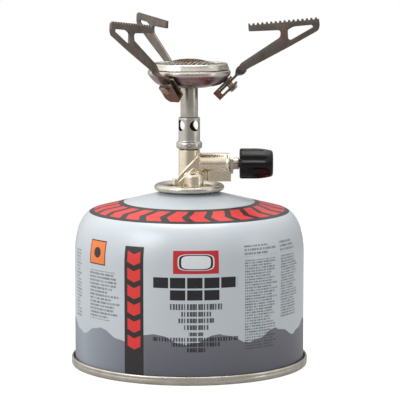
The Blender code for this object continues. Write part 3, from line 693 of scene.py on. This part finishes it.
def cylinder(radius, low, high, sides=48):
    """A prism with so many sides that it passes for round."""
    return prism([(radius * math.cos(2 * math.pi * i / sides), radius * math.sin(2 * math.pi * i / sides))
                  for i in range(sides)], low, high)


def build_valve():
    """The nut that closes the needle's housing, and the needle's stem."""
    def hexagon(radius, _, turn, apothem=4.2):
        if radius < 4.0:
            return radius
        sector = math.radians(60.0)
        flat = apothem / math.cos((turn % sector) - sector / 2)
        return min(radius, flat)

    nut = rounded([(4.2, 18.9), (4.85, 19.15), (4.85, 20.2), (4.4, 20.5), (3.0, 20.5), (3.0, 18.9)], 0.12, 2)
    piece(as_object("packing_nut", lathe(nut, 144, shaped=hexagon), VALVE), NUT_METAL, "stove",
          ["gland_nut"])
    stem = rounded([(0.0, 36.0), (2.0, 36.0), (2.0, 23.1), (2.7, 23.1), (2.7, 12.4), (1.9, 12.4), (1.9, 10.6),
                    (2.7, 10.6), (2.7, 9.0), (1.0, 7.8), (0.5, 5.8), (0.0, 5.6)], 0.12, 2, False)
    piece(as_object("valve_stem", lathe(stem, 72, False), VALVE), STEM_STEEL, "knob",
          ["spindle"])


def build_knob(flutes=8, depth=0.85, spacing=0.45):
    """The fluted knob: a turned skin with its points close together, so that the flutes are smooth."""
    bore, bore_end = 2.4, 36.2
    skin = [(bore, 23.4), (6.5, 23.4), (7.05, 23.9), (7.05, 31.0), (6.95, 33.0), (6.72, 35.0), (6.4, 36.8),
            (6.15, 38.0), (5.75, 38.65), (5.1, 38.9), (3.6, 38.9), (3.3, 38.6), (0.0, 38.45)]
    profile = rounded(skin, 0.5, 3, False)
    dense = []
    for first, second in zip(profile, profile[1:]):
        count = max(1, int(math.dist(first, second) / spacing))
        dense += [tuple(Vector(first).lerp(Vector(second), i / count)) for i in range(count)]
    dense.append(profile[-1])

    def fluted(radius, height, turn):
        """The flutes fade out towards the knob's end and don't reach its bore."""
        sector = 2 * math.pi / flutes
        aside = abs((turn % sector) - sector / 2) / (sector / 2)
        hollow = max(0.0, 1 - (aside / 0.62) ** 2) ** 1.5
        ending = min(1.0, max(0.0, (37.2 - height) / 3.2))
        rim = min(1.0, max(0.0, (radius - 5.2) / 1.0))
        return radius - depth * hollow * ending * ending * (3 - 2 * ending) * rim

    crown = lathe([(bore, bore_end), *dense], 256, False, fluted)
    inner = [v for v in crown.verts if abs(v.co.z - bore_end) < 1e-4]
    bmesh.ops.contextual_create(crown, geom=[e for e in crown.edges if all(v in inner for v in e.verts)])
    bmesh.ops.recalc_face_normals(crown, faces=crown.faces)
    piece(as_object("knob_fluted", crown, VALVE), KNOB, "knob", ["control_knob"], angle=50.0)


def build_collar():
    """The sleeve with its air holes and grub screw, and the tube that stands in it."""
    bead = [(5.05, 104.3), (5.7, 104.0), (6.0, 103.3), (6.0, 101.7), (5.75, 101.0), (5.1, 100.8)]
    profile = [(4.4, 115.3), (4.75, 115.4), (5.0, 115.0), (5.0, 105.2), (4.98, 104.8), *bead, (4.36, 100.8)]
    collar = as_object("collar_sleeve", lathe(rounded(profile, 0.3, 3), 144))
    holes = []
    for azimuth in (34.0, 124.0):
        turn = Matrix.Rotation(math.radians(azimuth), 4, "Z") @ Matrix.Rotation(math.radians(90.0), 4, "X")
        holes.append(("DIFFERENCE", as_object(f"air_{azimuth}", cylinder(2.6, -8.0, 8.0, 72),
                                              Matrix.Translation((0.0, 0.0, 111.75)) @ turn)))
    front = Matrix.Translation((0.0, 0.0, 102.6)) @ Matrix.Rotation(math.radians(90.0), 4, "X")
    holes.append(("DIFFERENCE", as_object("screw_hole", cylinder(1.05, 3.0, 7.5), front)))
    combined(collar, holes)
    piece(collar, COLLAR_STEEL, "stove", ["air_collar"], bevel=0.09, angle=38.0)

    def hex_socket(radius, _, turn):
        sector = math.radians(60.0)
        return radius / math.cos((turn % sector) - sector / 2) if radius < 0.45 else radius

    screw = [(0.0, 4.3), (0.72, 4.3), (0.85, 4.5), (0.85, 5.85), (0.7, 6.0), (0.4, 6.0), (0.4, 5.3),
             (0.0, 5.1)]
    piece(as_object("set_screw", lathe(screw, 48, False, hex_socket), front), TURNED_STEEL, "stove",
          ["collar_screw"])
    pipe = rounded([(4.06, 130.9), (4.06, 114.7), (3.5, 114.7), (3.5, 130.9)], 0.15, 2)
    piece(as_object("tube_drawn", lathe(pipe, 128)), STEEL, "stove", ["mixing_tube"])


# ---- burner ----


def build_burner():
    """The spun bowl, with room for the rivets' ends, the rolled rim and the gauze."""
    profile = [(17.6, 137.45), (18.7, 137.4), (19.1, 137.05), (19.3, 136.2), (19.2, 135.4), (18.5, 134.6),
               (17.6, 133.4), (15.6, 131.4), (14.2, 130.6), (12.0, 130.1), (9.6, 129.9), (8.8, 129.5),
               (5.2, 129.5), (4.4, 129.5)]
    bowl = as_object("bowl_spun", lathe(sheet(rounded(profile, 0.7, 3, False), 0.55), 192))
    holes = [("DIFFERENCE", as_object(f"rivet_room_{k}", cylinder(1.8, 0.5, 6.0), hinge_matrix(k)))
             for k in ARMS]
    combined(bowl, holes)
    piece(bowl, BOWL_STEEL, "stove", ["burner_bowl"])
    rim = [(16.3, 140.0), (16.6, 140.45), (17.15, 140.6), (17.6, 140.45), (17.85, 140.05), (18.0, 139.4),
           (18.35, 138.5), (18.6, 137.85)]
    piece(as_object("rim_rolled", lathe(sheet(rounded(rim, 0.3, 2, False), 0.5), 192)), RIM_STEEL, "stove",
          ["burner_rim"])
    build_gauze()


def dome_height(radius):
    """Height of the gauze, highest in the middle and flattening towards the rim."""
    points = ((0.0, 142.2), (3.0, 142.1), (6.0, 141.7), (9.0, 140.95), (12.0, 140.25), (15.0, 139.6),
              (17.2, 139.1))
    for (r0, h0), (r1, h1) in zip(points, points[1:]):
        if radius <= r1:
            return h0 + (h1 - h0) * (radius - r0) / (r1 - r0)
    return points[-1][1]


def build_gauze(reach=17.0, pitch=1.3, wire=0.2, points_a_pitch=4):
    """Plain-woven wire, each wire passing over and under the ones that cross it."""
    wires = []
    count = int(reach / pitch)
    for direction in (0, 1):
        for i in range(-count, count + 1):
            aside = i * pitch
            half = math.sqrt(max(0.0, reach * reach - aside * aside))
            steps = int(2 * half / pitch * points_a_pitch)
            if steps < 4:
                continue
            path = []
            for k in range(steps + 1):
                along = -half + 2 * half * k / steps
                lift = wire * math.cos(math.pi * along / pitch) * (1 if (i + direction) % 2 else -1)
                x, y = (along, aside) if direction else (aside, along)
                path.append((x, y, dome_height(math.hypot(x, y)) + lift))
            wires.append(tube(path, wire, 5))
    rim_points = 96
    turns = (2 * math.pi * k / rim_points for k in range(rim_points))
    ring = [(reach * math.cos(turn), reach * math.sin(turn), dome_height(reach)) for turn in turns]
    wires.append(tube(ring, 0.3, 8, loop=True))
    turned = Matrix.Rotation(math.radians(24.0), 4, "Z")
    piece(as_object("gauze_woven", joined(*wires), turned), GAUZE, "stove", ["burner_mesh"])


# ---- pot arms ----


def hinge_point(radius, height):
    """A point of an arm's upright plane, given by radius and height, in the hinge's leaning frame."""
    outward, upward = radius - PIVOT[0], height - PIVOT[1]
    cos, sin = math.cos(math.radians(45.0)), math.sin(math.radians(45.0))
    return (outward * cos + upward * sin, upward * cos - outward * sin)


def toothed_edge(start, end, count=16, depth=0.9):
    """A saw edge of flat-topped teeth between two points, which lie on the teeth's tips."""
    # Share of a tooth's pitch and share of its depth
    tooth = ((0.0, 0.0), (0.3, 0.0), (0.5, 1.0), (0.8, 1.0))
    pitch = 1.0 / (count - 0.5)
    slope = Vector(end) - Vector(start)
    inward = Vector((slope.y, -slope.x)).normalized() * depth
    stops = [((i + share) * pitch, drop) for i in range(count) for share, drop in tooth]
    return [tuple(Vector(start) + slope * stop + inward * drop) for stop, drop in stops if stop <= 1.0]


def arm_neck(sections=28):
    """The neck between blade and plate: a flat strip given a quarter turn."""
    work = bmesh.new()
    rings = []
    for i in range(sections + 1):
        share = i / sections
        eased = share * share * (3 - 2 * share)
        angle = math.radians(90.0) * eased
        centre = Vector((4.2 + 5.8 * share, ARM_OFFSET * eased, 0.25 * share))
        across = Vector((0.18 * eased, math.cos(angle), -math.sin(angle))) * (2.55 - 0.45 * eased)
        through = Vector((0.0, math.sin(angle), math.cos(angle))) * (ARM_HALF - 0.01)
        corners = ((-1, -1), (1, -1), (1, 1), (-1, 1))
        rings.append([work.verts.new(centre + across * u + through * v) for u, v in corners])
    for first, second in zip(rings, rings[1:]):
        for j in range(4):
            work.faces.new((first[j], first[(j + 1) % 4], second[(j + 1) % 4], second[j]))
    work.faces.new(rings[0])
    work.faces.new(rings[-1])
    bmesh.ops.recalc_face_normals(work, faces=work.faces)
    return work


def arm_object(name, hinge):
    """An arm: an upright plate with teeth and a window, a twisted neck, and the blade in its clip."""
    edge = toothed_edge((27.3, 158.9), (59.0, 161.9))
    rest = [((59.8, 161.4), 0.5), ((60.2, 158.0), 0.8), ((59.6, 155.9), 1.0), ((46.2, 148.3), 2.0),
            ((27.7, 138.4), 1.5), ((25.4, 136.9), 0.8), ((23.2, 139.9), 0.8), ((24.4, 141.0), 1.0),
            ((42.0, 152.7), 1.0), ((42.2, 155.2), 0.8), ((41.4, 155.9), 0.6), ((27.5, 155.3), 0.7)]
    radii = [0.05] * len(edge) + [radius for _, radius in rest]
    outline = rounded([*edge, *(point for point, _ in rest)], radii)
    window = rounded([(45.5, 156.1), (48.2, 157.6), (56.5, 158.4), (57.1, 157.4), (46.8, 151.4),
                      (45.7, 152.0)], [0.6, 0.8, 0.5, 0.4, 0.7, 0.5])
    aside = Matrix.Translation((0.0, ARM_OFFSET, 0.0))
    upright = hinge @ aside @ Matrix.Rotation(math.radians(90.0), 4, "X")
    plate = prism([hinge_point(*point) for point in outline], -ARM_HALF, ARM_HALF)
    hole = prism([hinge_point(*point) for point in window], -2 * ARM_HALF, 2 * ARM_HALF)
    heel = arc((0.0, 0.0), (2.7, 2.7), 90.0, 150.0, 10)
    blade = [(5.0, 2.6), *heel, (-5.6, 1.3), (-5.6, -1.9), (-1.9, -1.9), (-1.3, -2.3), (-0.4, -2.7),
             (5.0, -2.6)]
    arm = as_object(name, prism(rounded(blade, 0.3), -ARM_HALF, ARM_HALF), hinge)
    combined(arm, [
        ("UNION", as_object("plate", plate, upright)),
        ("UNION", as_object("neck", arm_neck(), hinge)),
        ("DIFFERENCE", as_object("window", hole, upright)),
        ("DIFFERENCE", as_object("rivet_hole", cylinder(1.6, -2.0, 2.0), hinge)),
    ])
    return arm


def bracket_object(name, hinge):
    """A folded clip: two plates with the blade between them, joined round their inner end."""
    end = arc((0.0, 0.0), (3.15, 3.15), -112.0, 0.0, 14)
    outline = [(-8.4, -1.4), (-6.3, -2.9), *end, (3.0, 0.5), (3.0, 4.1), (-8.4, 4.1)]
    radii = [0.7, 0.9] + [0.05] * len(end) + [0.05, 0.7, 0.9]
    clip = as_object(name, prism(rounded(outline, radii), -2.8, 1.6), hinge)
    slot = prism([(-6.9, -9.0), (9.0, -9.0), (9.0, 9.0), (-6.9, 9.0)], -1.9, 0.7)
    wall = prism([(-8.3, -1.35), (-6.3, -2.85), (-5.5, -2.85), (-5.5, -2.0), (-6.1, -2.0), (-7.4, -0.7)],
                 -2.3, 1.1)
    return combined(clip, [
        ("DIFFERENCE", as_object("slot", slot, hinge)),
        ("UNION", as_object("wall", wall, hinge)),
        ("DIFFERENCE", as_object("clip_hole", cylinder(1.6, -6.0, 4.0), hinge)),
    ])


def build_arms():
    """Each arm with the clip, rivet and spring washer that hold it."""
    head = arc((0.0, 2.8), (2.2, 0.8), 88.0, 0.0, 8)
    rivet = rounded([(0.0, 3.6), *head, (1.5, 2.75), (1.5, -3.4), (2.1, -3.42), (2.05, -3.8), (1.45, -4.15),
                     (0.7, -4.2), (0.5, -4.0), (0.0, -3.95)], 0.1, 2, False)
    washer = rounded([(2.5, -2.85), (2.5, -3.2), (1.65, -3.2), (1.65, -2.85)], 0.08, 2)
    for k in ARMS:
        hinge = hinge_matrix(k)
        piece(arm_object(f"arm_plate_{k}", hinge), ARM_STEEL, f"arm_{k}", [f"pot_arm_{k}"],
              bevel=0.1, angle=40.0)
        piece(bracket_object(f"bracket_clip_{k}", hinge), BRACKET_STEEL, "stove",
              [f"arm_bracket_{k}"], bevel=0.12, angle=40.0)
        piece(as_object(f"rivet_{k}", lathe(rivet, 64, False), hinge), RIVET_STEEL, "stove",
              [f"pivot_rivet_{k}"])
        piece(as_object(f"washer_{k}", lathe(washer, 64), hinge), RIVET_STEEL, "stove",
              [f"spring_washer_{k}"])


def dress_inner_nodes():
    """Pieces inside the canister valve and the stove keep their CAD shape."""
    finishes = {"cup_gasket": RUBBER, "plunger_seal": RUBBER, "inlet_seal": RUBBER, "spindle_o_ring": RUBBER,
                "valve_cage": ACETAL, "valve_plunger": ACETAL, "valve_spring": SPRING_STEEL,
                "inlet_pin": BRASS, "gas_filter": BRASS, "gas_jet": BRASS, "diffuser": RIM_STEEL}
    for node, material in finishes.items():
        obj = frame["nodes"][node]
        obj.data.materials.clear()
        obj.data.materials.append(material)


# ---- floor, lights and camera ----


def pale_floor():
    """Matt floor that the camera sees as white and that throws only a little light up at the stove."""
    graph = Graph("pale_floor", emission_color=(1.0, 1.0, 1.0, 1.0))
    tint = graph.mix(graph.spread(graph.noise(3.0, 2.0), 0.3, 0.7), (0.42, 0.42, 0.42), (0.4, 0.4, 0.4))
    seen = graph.node("ShaderNodeLightPath").outputs["Is Camera Ray"]
    graph.put(graph.maths("MULTIPLY", seen, 0.8), graph.shader.inputs["Emission Strength"])
    return graph.finish(tint, 0.9)


def area_light(name, place, target, size, power, size_y=None):
    """A square light, or one that is size_y high, which shines from place towards target."""
    light = bpy.data.lights.new(name, "AREA")
    light.energy = power
    light.size = size
    if size_y:
        light.shape = "RECTANGLE"
        light.size_y = size_y
    obj = bpy.data.objects.new(name, light)
    obj.location = place
    obj.rotation_euler = (Vector(target) - Vector(place)).to_track_quat("-Z", "Y").to_euler()
    bpy.context.scene.collection.objects.link(obj)


def build_stage():
    """The floor, a hair under the canister, and the room and lights around it."""
    half, gap = 0.45, 0.0001
    work = bmesh.new()
    corners = ((-half, -half), (half, -half), (half, half), (-half, half))
    work.faces.new([work.verts.new((x, y, FLOOR - gap)) for x, y in corners])
    mesh = bpy.data.meshes.new("floor")
    work.to_mesh(mesh)
    work.free()
    floor = bpy.data.objects.new("floor", mesh)
    floor.data.materials.append(pale_floor())
    bpy.context.scene.collection.objects.link(floor)

    build_world()
    middle = (0.0, 0.0, 0.06)
    area_light("key", (-0.62, -0.55, 0.55), middle, 0.45, 2.1)
    area_light("fill", (0.8, -0.3, 0.2), middle, 0.1, 0.35, 0.5)
    area_light("top", (0.0, 0.1, 0.95), middle, 0.6, 4.5)


def build_world():
    """A soft studio: bright above and to the left, darker in front and to the right.

    The camera sees it as a white backdrop.
    """
    world = bpy.data.worlds.new("studio")
    world.use_nodes = True
    nodes = Nodes(world.node_tree)
    output = nodes.tree.nodes["World Output"]
    room = nodes.tree.nodes["Background"]
    tint, base_level = (1.0, 0.985, 0.96, 1.0), 0.33

    def glow(side, low, high, most):
        return nodes.spread(side, low, high, 0.0, most, interpolation_type="SMOOTHSTEP")

    generated = nodes.node("ShaderNodeTexCoord").outputs["Generated"]
    way = nodes.node("ShaderNodeSeparateXYZ", {"Vector": generated}).outputs
    above = glow(way["Z"], 0.1, 0.75, 0.75)
    left = glow(way["X"], -0.25, -0.85, 0.7)
    right = glow(way["X"], 0.75, 0.95, 0.35)
    total = nodes.maths("ADD", nodes.maths("ADD", above, left), right)
    room.inputs["Color"].default_value = tint
    nodes.put(nodes.maths("ADD", total, base_level), room.inputs["Strength"])
    backdrop = nodes.node("ShaderNodeBackground", {"Color": (1.0, 1.0, 1.0, 1.0), "Strength": 1.0})
    seen = nodes.node("ShaderNodeLightPath").outputs["Is Camera Ray"]
    mixed = nodes.node("ShaderNodeMixShader", {0: seen, 1: room.outputs[0], 2: backdrop.outputs[0]})
    nodes.put(mixed.outputs[0], output.inputs["Surface"])
    bpy.context.scene.world = world


def build_camera():
    """The photograph's viewing angle: a long lens about a metre away, looking slightly down."""
    distance, down, look_height, aside = 1.0059, math.radians(7.21), 0.06666, 0.00499
    camera = bpy.data.cameras.new("camera")
    camera.sensor_width = 36.0
    camera.lens = 194.13
    obj = bpy.data.objects.new("camera", camera)
    obj.location = (aside, -distance * math.cos(down), look_height + distance * math.sin(down))
    obj.rotation_euler = (math.pi / 2 - down, 0.0, 0.0)
    bpy.context.scene.collection.objects.link(obj)
    bpy.context.scene.camera = obj


build_canister()
build_valve_body()
build_valve()
build_knob()
build_collar()
build_burner()
build_arms()
dress_inner_nodes()
build_stage()
build_camera()
bpy.context.scene.view_settings.view_transform = "Standard"
